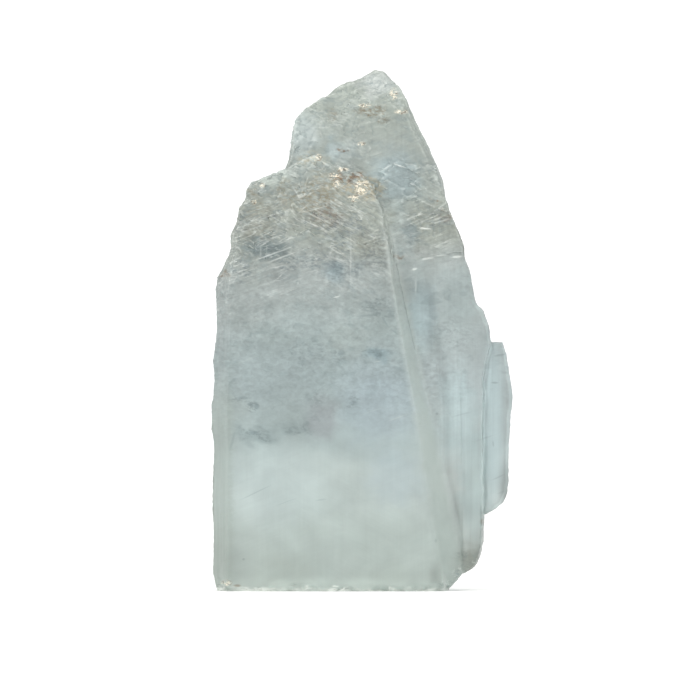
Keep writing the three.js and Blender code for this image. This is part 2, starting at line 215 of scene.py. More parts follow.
def wear(relief):
    """Edges are knocked back here and there, and the inner corners of the ledges are filled out."""
    start = relief.places
    lightly = softened(relief.piece, 4)
    deeply = softened(relief.piece, 26)
    widely = deeply.copy()
    widely[:, 1] = softened(relief.piece, 160)[:, 1]
    outwards = np.einsum("ij,ij->i", start - deeply, relief.normals)
    proud = smooth(0.0, 0.12, outwards)[:, None]
    hollow = smooth(0.0, 0.1, np.einsum("ij,ij->i", widely - start, relief.normals))[:, None]
    bitten = smooth(0.25, 0.5, fractal(start * 0.42, 3, 11))[:, None]
    worn = smooth(-0.6, 0.2, fractal(start * 0.2, 2, 17))[:, None]
    knocked = proud * (worn * 0.7 * (lightly - start) + bitten * 0.8 * (deeply - lightly))
    # The long edges of the front plate's broad face are soft, and not chipped.
    _, y, z = start.T
    broad = smooth(BLADE_FRONT - 0.4, BLADE_FRONT - 1.4, y) * smooth(101, 94, z)
    broad = broad * smooth(-0.1, -0.4, relief.normals[:, 1])
    broad = np.maximum(broad, facet_place(start))
    relief.places = start + (1 - broad)[:, None] * knocked + hollow * (widely - start)
    relief.places[:, 1] += broad * (widely[:, 1] - relief.places[:, 1])


def torn_amount(places):
    """How torn a surface is, from 0 to 1, at the tops of the front plate, blade and back plate."""
    x, y, z = places.T
    wander = 5 * noise(places * [0.12, 0.05, 0.07], 23)
    front = smooth(72, 92, z - 0.2 * x + wander) * smooth(BLADE_FRONT + 0.3, BLADE_FRONT - 0.5, y)
    blade = 0.75 * smooth(101, 116, z - 0.35 * x + wander)
    back = smooth(62, 80, z - 0.35 * x + wander) * smooth(BLADE_BACK - 0.3, BLADE_BACK + 0.5, y)
    return np.maximum(np.maximum(front, blade), back)


def tear(relief):
    """Hackles and the edges of torn sheets over the tops, along the lines that gypsum tears on."""
    places = relief.places
    amount = torn_amount(places)
    warp = 1.2 * np.stack([fractal(places * 0.1, 2, seed) for seed in (71, 72, 73)], axis=1)
    bent = places + warp
    falling = streaks(bent, -24, 12.0, 1.3, 31) ** 6
    fine = streaks(bent, -31, 7.0, 0.7, 33) ** 5
    steep = streaks(bent, -64, 6.0, 1.1, 37) ** 6
    rising = streaks(bent, 21, 14.0, 0.9, 41) ** 6
    mixing = smooth(-0.35, 0.35, noise(places * 0.1, 47))
    hackle = 0.26 * falling + 0.14 * fine + mixing * 0.16 * steep + (1 - mixing) * 0.2 * rising
    lumps = fractal(places * 0.22, 3, 43)
    height = hackle + 0.24 * lumps - 0.12
    relief.places = places + (amount * height)[:, None] * relief.normals
    terrace(relief, amount)


def terrace(relief, amount):
    """Torn slopes break into flat treads, where one cleavage sheet after another ends."""
    x, y, z = relief.places.T
    level = (y + 0.5 * noise(np.stack([x * 0.25, y * 0, z * 0.25], axis=1), 67)) / SHEET
    whole = np.floor(level)
    flat = whole + smooth(0.3, 0.7, level - whole)
    relief.places[:, 1] += amount * TERRACED * (flat - level) * SHEET


def crumble_foot(relief):
    """The lower edges are bruised all round, in small shell-shaped chips."""
    places = relief.places
    height = 1.3 + 1.1 * fractal(places * [0.3, 0.3, 0.0], 3, 83)
    rim = smooth(height, height - 0.8, places[:, 2])
    scallops = 0.25 + 0.55 * ridged(places * [0.5, 0.5, 0.9], 89) ** 2 + 0.25 * fractal(places * 1.1, 2, 97)
    upright = smooth(0.9, 0.4, np.abs(relief.normals[:, 2]))
    push = 0.6 * rim * upright * np.maximum(scallops, 0)
    relief.places = places - push[:, None] * relief.normals * [1, 1, 0]


def facet_place(places):
    """1 on the slanting facet of the front plate and along its edges, which are smooth and soft."""
    x, y, z = places.T
    across = x + z * FACET_SLANT
    sides = smooth(*FACET_LEFT, across) * smooth(*FACET_RIGHT, across + z * FACET_TAPER)
    return sides * smooth(*FACET_TOP, z) * smooth(BLADE_FRONT + 0.3, BLADE_FRONT - 0.3, y)


def seam_place(places):
    """1 around the seam, which is soft."""
    x, _, z = places.T
    return smooth(*SEAM_LEFT, x) * smooth(*SEAM_TOP, z) * smooth(*SEAM_FOOT, z)


def layer_sides(relief):
    """The broken sides show the edges of thin cleavage sheets, each a little in or out of its neighbours."""
    places = relief.places
    x, y, z = places.T
    side = smooth(0.75, 0.35, np.abs(relief.normals[:, 1])) * (1 - 0.9 * facet_place(places))
    sheet = noise(np.stack([x * 0.05, y * 1.3, z * 0.05], axis=1), 53)
    thin = noise(np.stack([x * 0.12, y * 2.9, z * 0.12], axis=1), 59)
    rough = fractal(places * [0.9, 0.9, 0.9], 2, 61)
    height = 0.22 * sheet + 0.12 * thin + 0.10 * rough
    relief.places = places + (side * height)[:, None] * relief.normals * [1, 0, 1]


def keep_inside(relief):
    """Nothing reaches outside the solid's own box, and the foot stays flat."""
    low, high = (np.array(corner) / MM for corner in CAD_BOX)
    relief.places = np.clip(relief.places, low, high)


def thin_out(piece):
    """Flat places lose the faces that they don't need, and all faces become triangles."""
    thin = piece.modifiers.new("thin", "DECIMATE")
    thin.ratio = min(1.0, TRIANGLES / (2 * len(piece.data.polygons)))
    piece.modifiers.new("triangles", "TRIANGULATE")
    apply_modifiers(piece)


def edge_ends(mesh):
    """The two vertices of every edge, as two arrays of indices."""
    pairs = np.empty(len(mesh.edges) * 2, np.int32)
    mesh.edges.foreach_get("vertices", pairs)
    return pairs.reshape(-1, 2).T


def shade(piece):
    """Smooth shading that breaks at sharp edges, but not on the facet or the seam."""
    mesh = piece.data
    mesh.shade_smooth()
    mesh.set_sharp_from_angle(angle=math.radians(SHARP))
    places = read(mesh, "vertices") / MM
    soft = np.maximum(facet_place(places), seam_place(places)) > 0.2
    first, second = edge_ends(mesh)
    sharp = np.empty(len(mesh.edges), bool)
    mesh.attributes["sharp_edge"].data.foreach_get("value", sharp)
    mesh.attributes["sharp_edge"].data.foreach_set("value", sharp & ~(soft[first] & soft[second]))
    weighted = piece.modifiers.new("weighted", "WEIGHTED_NORMAL")
    weighted.keep_sharp = True
    weighted.weight = 100
    apply_modifiers(piece)


def note_crests(piece):
    """How far each vertex stands out of its surroundings, in millimetres, where the mesh is fine."""
    mesh = piece.data
    places = read(mesh, "vertices") / MM
    outwards = np.einsum("ij,ij->i", places - softened(piece, 10), read(mesh, "vertex_normals"))
    first, second = edge_ends(mesh)
    reach = np.linalg.norm(places[first] - places[second], axis=1)
    longest = np.zeros(len(places))
    np.maximum.at(longest, first, reach)
    np.maximum.at(longest, second, reach)
    crest = mesh.attributes.new("crest", "FLOAT", "POINT")
    crest.data.foreach_set("value", (outwards * (longest < 3 * CELL)).astype(np.float32))


def slab_piece():
    source = frame["nodes"]["selenite_slab"]
    target = welded_copy(source, "target")
    piece = welded_copy(source, "selenite_block")
    remesh(piece, target)
    relief = Relief(piece)
    wear(relief)
    tear(relief)
    layer_sides(relief)
    crumble_foot(relief)
    keep_inside(relief)
    relief.store()
    thin_out(piece)
    note_crests(piece)
    shade(piece)
    bpy.data.objects.remove(target)
    return piece


# ---- Nodes, written as arithmetic ----
class Field:
    """A value that varies over the surface. Arithmetic on it adds nodes to its material."""

    def __init__(self, tree, socket):
        self.tree = tree
        self.socket = socket

    def __add__(self, other):
        return calculate(self.tree, "ADD", self, other)

    def __sub__(self, other):
        return calculate(self.tree, "SUBTRACT", self, other)

    def __rsub__(self, other):
        return calculate(self.tree, "SUBTRACT", other, self)

    def __mul__(self, other):
        return calculate(self.tree, "MULTIPLY", self, other)

    def __abs__(self):
        return calculate(self.tree, "ABSOLUTE", self)

    __radd__ = __add__
    __rmul__ = __mul__

    def over(self, other):
        """The greater of two values."""
        return calculate(self.tree, "MAXIMUM", self, other)

    def step(self, low, high):
        """0 up to low, 1 from high on, and smooth between; low may be the higher one."""
        node = self.tree.nodes.new("ShaderNodeMapRange")
        node.interpolation_type = "SMOOTHSTEP"
        plug(self.tree, node.inputs["Value"], self)
        node.inputs["From Min"].default_value = low
        node.inputs["From Max"].default_value = high
        return Field(self.tree, node.outputs["Result"])


def plug(tree, slot, value):
    if isinstance(value, Field):
        tree.links.new(value.socket, slot)
    else:
        slot.default_value = value


def calculate(tree, operation, *values):
    node = tree.nodes.new("ShaderNodeMath")
    node.operation = operation
    for slot, value in zip(node.inputs, values):
        plug(tree, slot, value)
    return Field(tree, node.outputs[0])


def paint(colour, where, other):
    """One colour laid over another, where a field says so."""
    tree = where.tree
    node = tree.nodes.new("ShaderNodeMix")
    node.data_type = "RGBA"
    factor, first, second = (node.inputs[k] for k in (0, 6, 7))
    plug(tree, factor, where)
    for slot, value in ((first, colour), (second, other)):
        plug(tree, slot, value if isinstance(value, Field) else (*value, 1))
    return Field(tree, node.outputs[2])


def vector(operation, *values, scale=None):
    """A vector sum, or for LENGTH and DOT_PRODUCT a number; the first value is a field."""
    tree = values[0].tree
    node = tree.nodes.new("ShaderNodeVectorMath")
    node.operation = operation
    for slot, value in zip(node.inputs, values):
        plug(tree, slot, value)
    if scale is not None:
        plug(tree, node.inputs["Scale"], scale)
    return Field(tree, node.outputs[1 if operation in ("LENGTH", "DOT_PRODUCT") else 0])


def shaded(colour, amount):
    """A colour made brighter or darker by a field around 1."""
    return vector("SCALE", colour, scale=amount)


def group(name, make, *labels):
    """A node group for a shape that is drawn many times: vectors in, one number from 0 to 1 out."""
    tree = bpy.data.node_groups.new(name, "ShaderNodeTree")
    for label in labels:
        tree.interface.new_socket(label, in_out="INPUT", socket_type="NodeSocketVector")
    tree.interface.new_socket("Where", in_out="OUTPUT", socket_type="NodeSocketFloat")
    entry = tree.nodes.new("NodeGroupInput")
    where = make(*(Field(tree, socket) for socket in entry.outputs[:len(labels)]))
    tree.links.new(where.socket, tree.nodes.new("NodeGroupOutput").inputs[0])
    return tree


def spot_shape(place, scale, shift):
    """1 in the middle of an oval, 0 past its reach."""
    return vector("LENGTH", vector("MULTIPLY_ADD", place, scale, shift)).step(1.0, 0.3)


class Surface:
    """Places on the slab in millimetres, and the patterns that its colours are made of."""

    def __init__(self, tree):
        self.tree = tree
        origin = tree.nodes.new("ShaderNodeTexCoord")
        self.place = vector("SCALE", Field(tree, origin.outputs["Object"]), scale=1 / MM)
        self.x, self.y, self.z = self.parts(self.place)
        self.east, facing, _ = self.parts(Field(tree, origin.outputs["Normal"]))
        # How far a face looks forward, and back, from 0 to 1.
        self.front = facing.step(-0.1, -0.45)
        self.back = facing.step(0.35, 0.75)
        self.spot = group("spot", spot_shape, "Place", "Scale", "Shift")
        # Places seen from the front: as they are, pushed about so that outlines fray, and pushed a little.
        bend_x = (self.cloud((4, 50, 3), 21, 4.0, 0.5) - 0.5) * 7
        bend_z = (self.cloud((4, 50, 3), 22, 4.0, 0.5) - 0.5) * 7
        self.flat = self.together(self.x, 0.0, self.z)
        self.frayed = self.together(self.x + bend_x, 0.0, self.z + bend_z)
        self.waved = self.together(self.x + bend_x * 0.05, 0.0, self.z + bend_z * 0.05)

    def parts(self, place):
        node = self.tree.nodes.new("ShaderNodeSeparateXYZ")
        self.tree.links.new(place.socket, node.inputs[0])
        return [Field(self.tree, socket) for socket in node.outputs]

    def together(self, x, y, z):
        node = self.tree.nodes.new("ShaderNodeCombineXYZ")
        for slot, value in zip(node.inputs, (x, y, z)):
            plug(self.tree, slot, value)
        return Field(self.tree, node.outputs[0])

    def noise(self, place, detail, rough=0.5, warp=0.0):
        node = self.tree.nodes.new("ShaderNodeTexNoise")
        self.tree.links.new(place.socket, node.inputs["Vector"])
        node.inputs["Scale"].default_value = 1.0
        node.inputs["Detail"].default_value = detail
        node.inputs["Roughness"].default_value = rough
        node.inputs["Distortion"].default_value = warp
        return Field(self.tree, node.outputs["Fac"])

    def cloud(self, size, seed, detail=3.0, warp=0.0):
        """Noise whose lumps are about as large as size, in millimetres along X, Y and Z."""
        shift = (7.3 * seed, 0, 3.1 * seed)
        place = vector("MULTIPLY", self.place, [1 / length for length in size])
        return self.noise(vector("ADD", place, shift), detail, warp=warp)

    def drawn_out(self, degrees, length, spacing, shift):
        """Places on a grid that is long along a direction and narrow across it."""
        turn = math.radians(degrees)
        along = vector("DOT_PRODUCT", self.place, (math.cos(turn) / length, 0, math.sin(turn) / length))
        across = vector("DOT_PRODUCT", self.place, (-math.sin(turn) / spacing, 0, math.cos(turn) / spacing))
        return self.together(along + shift, self.y * 0.3, across)

    def hairs(self, degrees, length, spacing, width, seed):
        """Fine lines that wander along a direction: contours of noise drawn out along it."""
        drawn = self.drawn_out(degrees, length, spacing, 5.7 * seed)
        return abs(self.noise(drawn, 2.0, 0.6, 0.6) - 0.5).step(width, 0)

    def grain(self, degrees, length, spacing, seed):
        """Soft streaks along a direction, about -0.3 to 0.3."""
        drawn = self.drawn_out(degrees, length, spacing, 3.9 * seed)
        return self.noise(drawn, 3.0, 0.6, 0.3) - 0.5

    def attribute(self, name):
        node = self.tree.nodes.new("ShaderNodeAttribute")
        node.attribute_name = name
        return Field(self.tree, node.outputs["Fac"])

    def later(self, after):
        """The same surface for marks that are only worked out after a value or colour.

        Cycles works out all the marks that it can before it uses any, and runs out of room. So each batch
        of marks waits for the one before it, by a shift that is too small to see.
        """
        late = copy.copy(self)
        if after is not None:
            shift = vector("SCALE", after, scale=UNSEEN)
            late.flat = vector("ADD", self.flat, shift)
            late.frayed = vector("ADD", self.frayed, shift)
            late.waved = vector("ADD", self.waved, shift)
        return late

    def oval(self, place, middle, reach):
        """A soft oval around a place (x, z) of the front."""
        node = self.tree.nodes.new("ShaderNodeGroup")
        node.node_tree = self.spot
        scale = (1 / reach[0], 0, 1 / reach[1])
        shift = (-middle[0] / reach[0], 0, -middle[1] / reach[1])
        for slot, value in zip(node.inputs, (place, scale, shift)):
            plug(self.tree, slot, value)
        return Field(self.tree, node.outputs[0])

    def line(self, start, end, width):
        """One hairline between two places (x, z), that thins out at its ends."""
        run = Vector(end) - Vector(start)
        middle = (Vector(start) + Vector(end)) / 2
        along = run.normalized() / (0.55 * run.length)
        across = Vector((-run.y, run.x)).normalized() / width
        off_end = vector("DOT_PRODUCT", self.waved, (along.x, 0, along.y)) - along.dot(middle)
        off_line = vector("DOT_PRODUCT", self.waved, (across.x, 0, across.y)) - across.dot(middle)
        return vector("LENGTH", self.together(off_end, 0.0, off_line)).step(1.0, 0.3)

    def patch(self, middle, reach):
        """A soft spot with a ragged outline."""
        return self.oval(self.frayed, middle, reach)

    def speck(self, middle, reach):
        """A soft spot with a plain outline."""
        return self.oval(self.flat, middle, reach)


def ramp(value, stops):
    """Colours that a value passes through, as (value, colour) from the lowest up."""
    low, high = stops[0][0], stops[-1][0]
    node = value.tree.nodes.new("ShaderNodeValToRGB")
    plug(value.tree, node.inputs[0], (value - low) * (1 / (high - low)))
    node.color_ramp.interpolation = "EASE"
    colours = node.color_ramp.elements
    while len(colours) < len(stops):
        colours.new(0.5)
    for element, (place, colour) in zip(colours, stops):
        element.position = (place - low) / (high - low)
        element.color = (*colour, 1)
    return Field(value.tree, node.outputs["Color"])


# ---- Material: what is named here is given as places (x, z) in millimetres, seen from the front ----
# The body is a pale blue-green, greyer in the torn tops and brightest in the lower half: height, colour.
BODY = [
    (0, (0.50, 0.535, 0.495)),
    (12, (0.535, 0.575, 0.545)),
    (26, (0.585, 0.625, 0.605)),
    (38, (0.49, 0.545, 0.54)),
    (52, (0.425, 0.475, 0.48)),
    (76, (0.38, 0.42, 0.41)),
    (92, (0.315, 0.342, 0.30)),
    (106, (0.35, 0.392, 0.365)),
    (130, (0.38, 0.425, 0.38)),
]
WHITE = (0.80, 0.84, 0.80)
# The colour of the painted glints.
PAINTED_GLINT_CREAM = (1.0, 0.90, 0.72)
GOLD = (0.40, 0.35, 0.23)
RUST = (0.20, 0.11, 0.045)
OCHRE = (0.27, 0.255, 0.19)
UMBER = (0.19, 0.155, 0.095)
SLATE = (0.21, 0.265, 0.275)
DUSK = (0.17, 0.205, 0.215)
LAVENDER = (0.46, 0.53, 0.60)
DEEP = (0.12, 0.165, 0.17)
INK = (0.15, 0.205, 0.235)
AQUA_PALE = (0.60, 0.73, 0.75)
AQUA = (0.41, 0.505, 0.505)
OLIVE = (0.42, 0.455, 0.41)
BLUE = (0.31, 0.41, 0.45)
ROSE = (0.37, 0.38, 0.395)
CLOUD = (0.49, 0.53, 0.51)
MOSS = (0.27, 0.295, 0.255)
AQUA_LIGHT = (0.46, 0.59, 0.605)
PAINTED_REFLECTION = (0.63, 0.68, 0.675)
PALE = (0.50, 0.575, 0.575)
BEIGE = (0.56, 0.61, 0.57)
BEIGE_LOW = (0.35, 0.41, 0.38)

# Large, ragged patches of colour, one of them a painted reflection: middle, reach, colour, strength.
PATCHES = [
    # Painted reflection: the pale glow low on the left stands for light reflected from a flat cleavage
    # surface inside.
    ((-21, 26), (17, 14), PAINTED_REFLECTION, 0.6),
    ((4, 46), (15, 14), LAVENDER, 0.35),
    ((8, 28), (10, 10), LAVENDER, 0.3),
    ((20, 70), (13, 17), PALE, 0.5),
    ((35, 42), (9, 30), PALE, 0.65),
    ((-15, 114), (6, 8), PALE, 0.6),
    ((-27, 38.8), (9, 3.0), SLATE, 0.4),
    ((-15.5, 40.5), (7, 2.6), SLATE, 0.3),
    ((-10.5, 43), (6, 8), ROSE, 0.75),
    ((-24, 85.7), (8, 4.4), DEEP, 0.85),
    ((-6.8, 81.0), (5, 1.6), DEEP, 0.5),
    ((-7, 79.6), (4.5, 3.6), BLUE, 0.45),
    ((4, 71), (6, 4), SLATE, 0.2),
    ((4, 59), (5, 3), BLUE, 0.5),
    ((8, 103), (9, 10), BLUE, 0.5),
    ((-7, 110.5), (3, 4), BLUE, 0.4),
    ((15, 70), (5, 12), BLUE, 0.35),
    ((9.4, 88), (4.5, 11), PALE, 0.5),
    ((28, 26), (6, 18), AQUA, 0.6),
    ((24, 44), (7, 18), AQUA_LIGHT, 0.4),
    ((24, 74), (6, 10), AQUA, 0.25),
    ((-5, 109.5), (5, 4), PALE, 0.4),
    ((-4, 63), (8, 6), CLOUD, 0.55),
    ((-31, 46), (5, 5), CLOUD, 0.45),
    ((4, 127), (7, 5), CLOUD, 0.9),
    ((14, 83.5), (6, 2.6), CLOUD, 0.5),
    ((28, 6.5), (5.5, 6.5), MOSS, 0.5),
    ((12, 89.5), (2.6, 4.5), SLATE, 0.7),
]

# Soft lighter and darker places on the faces that look forward, partly the crystal's own tone and partly
# painted light and shade, such as the lighter foot: middle, reach, amount.
TONES_AND_PAINTED_LIGHT = [
    ((4, 126.5), (5, 3.5), 0.12),
    ((-9, 108), (5, 3), 0.10),
    ((-13.5, 107.5), (5, 3), 0.2),
    ((3.4, 104.4), (4.4, 5), 0.24),
    ((12, 104), (4, 4), -0.10),
    ((-22.5, 103.6), (6.5, 4), 0.36),
    ((-11, 103.6), (3, 2.5), 0.12),
    ((-26, 99.4), (4, 3), -0.10),
    ((-16, 99.4), (4, 3), -0.07),
    ((26, 99), (3, 4), -0.2),
    ((30, 98), (4, 5), -0.10),
    ((8, 94.5), (3.4, 5), 0.16),
    ((-29, 93), (5, 9), -0.14),
    ((19, 93), (7, 5), -0.18),
    ((-4, 91), (6, 4), -0.13),
    ((-16, 91), (4, 4), -0.11),
    ((-21, 91), (4, 4), -0.12),
    ((-9, 90.9), (6, 3), -0.10),
    ((3, 90.5), (3, 3), 0.09),
    ((17, 86.6), (4, 3), 0.07),
    ((8, 86), (3, 3), 0.10),
    ((-9, 83), (10, 6), -0.14),
    ((12.5, 81), (6, 5), 0.22),
    ((-21, 81), (6, 6), -0.20),
    ((-30, 81), (4, 6), -0.14),
    ((-35, 78), (3, 5), -0.10),
    ((22, 74), (4.5, 4.5), -0.15),
    ((9, 73), (3.4, 8), 0.10),
    ((31, 70), (3, 6), 0.08),
    ((-10, 67.5), (22, 4), 0.05),
    ((-22, 67), (8, 6), 0.12),
    ((12, 66), (8, 7), 0.14),
    ((-35, 61), (3, 5), -0.16),
    ((14, 61), (5, 4), 0.10),
    ((-19, 50), (13, 7), -0.07),
    ((3, 48), (4, 4), -0.07),
    ((-3, 47.5), (7, 4), -0.08),
    ((24, 46), (6, 10), 0.11),
    ((36, 44), (3, 16), -0.12),
    ((-16, 42), (5, 8), -0.11),
    ((-20, 42), (9, 7), -0.06),
    ((-6, 36), (6, 6), -0.06),
    ((17, 34), (3, 8), -0.08),
    ((36, 29), (3, 8), -0.06),
    ((10, 28), (4, 5), 0.06),
    ((25, 27), (4, 4), -0.08),
    ((37, 26), (4, 9), -0.34),
    ((-36, 24), (3.4, 34), -0.11),
    ((36.5, 22.5), (3, 4), -0.14),
    ((32, 22), (4, 4), 0.04),
    ((19, 21), (10, 9), -0.10),
    ((29, 11), (5, 6), -0.13),
    ((33, 10.5), (3, 5), -0.42),
    ((-33, 10), (4, 6), -0.05),
    ((30.5, 9.5), (3, 3.4), -0.16),
    ((-36, 8), (3, 7), -0.08),
    ((-31, 7), (6, 6), -0.10),
    ((27.5, 6), (3, 2.6), -0.08),
    ((20.3, 4.2), (2.6, 3.4), 0.14),
    ((-6, 1.5), (16, 3), 0.07),
    ((2, 1.5), (12, 2.6), 0.05),
    ((-20.5, 1.4), (4, 2.2), 0.22),
]

# Brown and ochre stains, which are mottled. They are given in the same way.
STAINS = [
    ((-7, 101.5), (12, 4.5), OCHRE, 1.0),
    ((0, 100.5), (7, 4.5), GOLD, 0.9),
    ((-12.5, 107.5), (5, 3), GOLD, 0.6),
    ((2, 85), (6, 6), OCHRE, 0.8),
    ((-11, 97), (8, 7.5), OCHRE, 1.3),
    ((-26, 92), (7, 8), OCHRE, 0.8),
    ((-9, 93), (6, 3.4), RUST, 0.7),
    ((-1.5, 103.2), (2.4, 1.4), RUST, 1.4),
    ((-5.5, 103.4), (4, 1.3), RUST, 0.9),
    ((2.2, 119.8), (5, 2.2), UMBER, 1.0),
    ((5.4, 118.0), (3, 1.8), UMBER, 0.7),
    ((-7.4, 119), (2.0, 3.4), OCHRE, 0.7),
    ((-5.4, 110.2), (1.4, 1.0), RUST, 0.9),
    ((-19, 99), (3.6, 5.0), OCHRE, 0.9),
    ((-27, 99.8), (2, 2.4), OCHRE, 0.9),
    ((18.1, 96.8), (2.6, 1.1), RUST, 0.8),
    ((20.6, 93.4), (3, 2), RUST, 0.8),
    ((9.2, 83.5), (2, 1.6), RUST, 0.7),
    ((-34, 79.4), (1.8, 1.5), RUST, 0.7),
    ((27, 7), (6, 7), OCHRE, 0.6),
]

# Small single marks, in the same way too.
SPECKS = [
    ((30.1, 17.2), (1.0, 1.2), RUST, 0.45),
    ((-31.2, 1.4), (1.3, 0.5), RUST, 0.6),
    ((18.6, 44.2), (0.5, 0.45), DUSK, 0.5),
    ((14.3, 41.8), (0.6, 0.45), DUSK, 0.35),
    ((18.3, 12.6), (0.5, 0.7), DUSK, 0.4),
    ((-29.6, 8.0), (0.5, 0.4), DUSK, 0.4),
    ((-27.9, 46.6), (1.2, 0.6), INK, 0.45),
    ((-26.4, 46.0), (0.9, 1.1), INK, 0.5),
    ((-29.6, 48.2), (2.4, 0.55), INK, 0.35),
    ((-27.0, 39.5), (1.6, 0.7), INK, 0.4),
    ((-2.3, 46.9), (1.0, 0.8), INK, 0.4),
    ((2.4, 59.8), (2.0, 0.8), INK, 0.3),
    ((4.0, 58.8), (1.4, 1.1), INK, 0.4),
    ((-5.3, 59.4), (1.3, 1.1), INK, 0.35),
    ((-13.6, 48.4), (1.4, 1.6), DUSK, 0.25),
]

# Dark, grainy wisps under the surface: middle, reach, strength.
WISPS = [
    ((19.5, 92.5), (6, 4), 0.7),
    ((-10, 92), (8, 4), 0.8),
    ((-24, 92), (8, 5), 0.6),
    ((-30, 92), (3.6, 5), 0.8),
    ((-1.5, 90.8), (6, 3.6), 0.9),
    ((2.8, 88), (5, 4), 0.7),
    ((-5.5, 86), (4, 4.5), 0.9),
    ((-25, 85.6), (6.5, 4), 1.0),
    ((2, 83), (5.5, 5), 0.9),
    ((-19, 82), (5, 3.6), 1.0),
    ((-11.5, 82), (6, 3.2), 0.9),
    ((-7, 81.4), (6, 1.8), 1.0),
    ((-16, 81), (6, 2.4), 0.7),
    ((-30, 81), (4, 4.5), 0.9),
    ((-4, 80), (6, 3.2), 0.9),
    ((-7, 78), (5, 2.6), 0.6),
    ((-31, 77.5), (3, 2), 0.6),
    ((-33.6, 74), (2.4, 3), 0.5),
    ((3.6, 71), (6.5, 4.5), 0.8),
    ((22, 64), (9, 6), 0.35),
    ((3, 59.6), (4.4, 2.6), 0.7),
    ((-13.5, 59), (8, 6), 0.45),
    ((-6, 59), (2.6, 2.4), 0.6),
    ((-12, 48), (3, 3.4), 0.5),
    ((-31, 47.8), (4, 1.2), 0.5),
    ((-2.4, 47.2), (2.2, 1.8), 0.6),
    ((-27.4, 46.4), (3.4, 2.0), 0.8),
    ((-11.6, 43.4), (3, 2.4), 0.4),
    ((-16, 40.4), (5, 1.8), 0.6),
    ((-27, 39.2), (7, 1.8), 0.7),
    ((25, 7.5), (2.6, 3.4), 0.6),
    ((23.3, 3.4), (1.8, 2.0), 0.9),
]

# Places broken to light and dark crumbs: middle, reach, strength.
CRUMBS = [
    ((3.4, 126.6), (4.4, 3.2), 0.6),
    ((8.6, 122.5), (2.4, 3.4), 0.5),
    ((-9, 118), (4, 3), 0.3),
    ((-17, 106), (5, 2), 0.4),
    ((-6, 105), (8, 2.2), 0.5),
    ((-26, 100.5), (4, 2.6), 0.5),
    ((28.8, 7.6), (2.6, 2.4), 0.7),
    ((25, 4.4), (3.6, 2.4), 0.9),
    ((21, 1.6), (3, 1.8), 0.7),
]

# Scratches and cleavage lines: start, end, half width, strength.
LIGHT_LINES = [
    ((-28.5, 81.9), (-17.0, 85.9), 0.26, 0.55),
    ((-25.0, 81.4), (-15.0, 85.1), 0.24, 0.5),
    ((-25.4, 82.6), (-25.3, 86.6), 0.30, 0.22),
    ((-23.9, 82.6), (-23.8, 86.2), 0.26, 0.2),
    ((-33.8, 55.8), (-24.2, 59.3), 0.22, 0.3),
    ((-28.5, 75.4), (-18.5, 72.0), 0.3, 0.2),
    ((-2.9, 91.0), (-2.9, 75.0), 0.3, 0.25),
    ((-0.9, 60.5), (5.2, 62.7), 0.26, 0.2),
    ((2.6, 57.0), (5.2, 57.5), 0.22, 0.6),
    ((5.2, 57.5), (10.5, 55.6), 0.20, 0.3),
    ((-7.6, 73.0), (-5.2, 73.7), 0.22, 0.8),
    ((-1.6, 43.5), (5.9, 46.1), 0.20, 0.3),
    ((5.6, 42.1), (12.2, 44.5), 0.20, 0.5),
    ((-19.4, 42.4), (-11.4, 46.0), 0.20, 0.15),
    ((-27.0, 44.0), (-20.0, 47.2), 0.22, 0.1),
    ((4.4, 104.6), (7.6, 106.6), 0.28, 0.6),
    ((7.2, 106.7), (11.2, 105.5), 0.28, 0.7),
    ((9.6, 92.0), (15.8, 94.6), 0.22, 0.4),
    ((10.2, 90.9), (14.8, 92.9), 0.20, 0.3),
    ((13.4, 90.6), (17.8, 90.3), 0.28, 0.95),
    ((14.0, 82.5), (18.6, 83.5), 0.45, 0.7),
    ((18.0, 83.6), (21.0, 83.7), 0.3, 0.5),
    ((21.8, 83.2), (25.4, 83.6), 0.4, 0.85),
    ((12.1, 80.1), (14.0, 80.5), 0.4, 0.9),
    ((13.3, 78.2), (13.3, 73.6), 0.35, 0.45),
    ((-17.0, 93.2), (-12.6, 97.4), 0.24, 0.35),
    ((-17.2, 93.4), (-8.0, 89.6), 0.24, 0.4),
    ((-18.6, 96.0), (-16.2, 93.0), 0.26, 0.3),
    ((-32.0, 88.8), (-22.8, 91.9), 0.20, 0.35),
    ((-30.2, 90.6), (-23.5, 94.2), 0.18, 0.3),
    ((-25.0, 94.7), (-16.9, 90.1), 0.20, 0.35),
    ((-15.9, 94.2), (-7.7, 96.2), 0.22, 0.4),
    ((-17.9, 101.8), (-15.2, 97.0), 0.22, 0.35),
    ((-9.8, 86.5), (-3.6, 83.0), 0.22, 0.35),
]
DARK_LINES = [
    ((-31.0, 22.5), (-22.0, 26.8), 0.22, 0.3),
    ((-21.9, 21.1), (-16.0, 23.4), 0.2, 0.2),
    ((-12.0, 22.6), (-8.6, 23.0), 0.3, 0.25),
    ((-31.6, 40.4), (-33.2, 34.6), 0.5, 0.3),
    ((32.6, 58.5), (36.2, 59.1), 0.4, 0.5),
    ((32.0, 51.9), (34.3, 51.9), 0.35, 0.5),
    ((7.0, 56.2), (11.5, 54.4), 0.6, 0.3),
    ((32.0, 27.4), (36.4, 29.3), 0.3, 0.3),
    ((32.6, 37.6), (32.9, 35.6), 0.3, 0.4),
    ((27.2, 37.0), (33.6, 39.0), 0.3, 0.2),
    ((21.6, 43.2), (28.0, 44.8), 0.3, 0.2),
    ((33.4, 24.0), (36.2, 25.0), 0.3, 0.25),
    ((-2.2, 68.4), (3.8, 68.8), 0.3, 0.45),
    ((4.6, 68.6), (6.8, 65.4), 0.32, 0.5),
    ((6.6, 65.6), (9.0, 63.8), 0.32, 0.45),
]
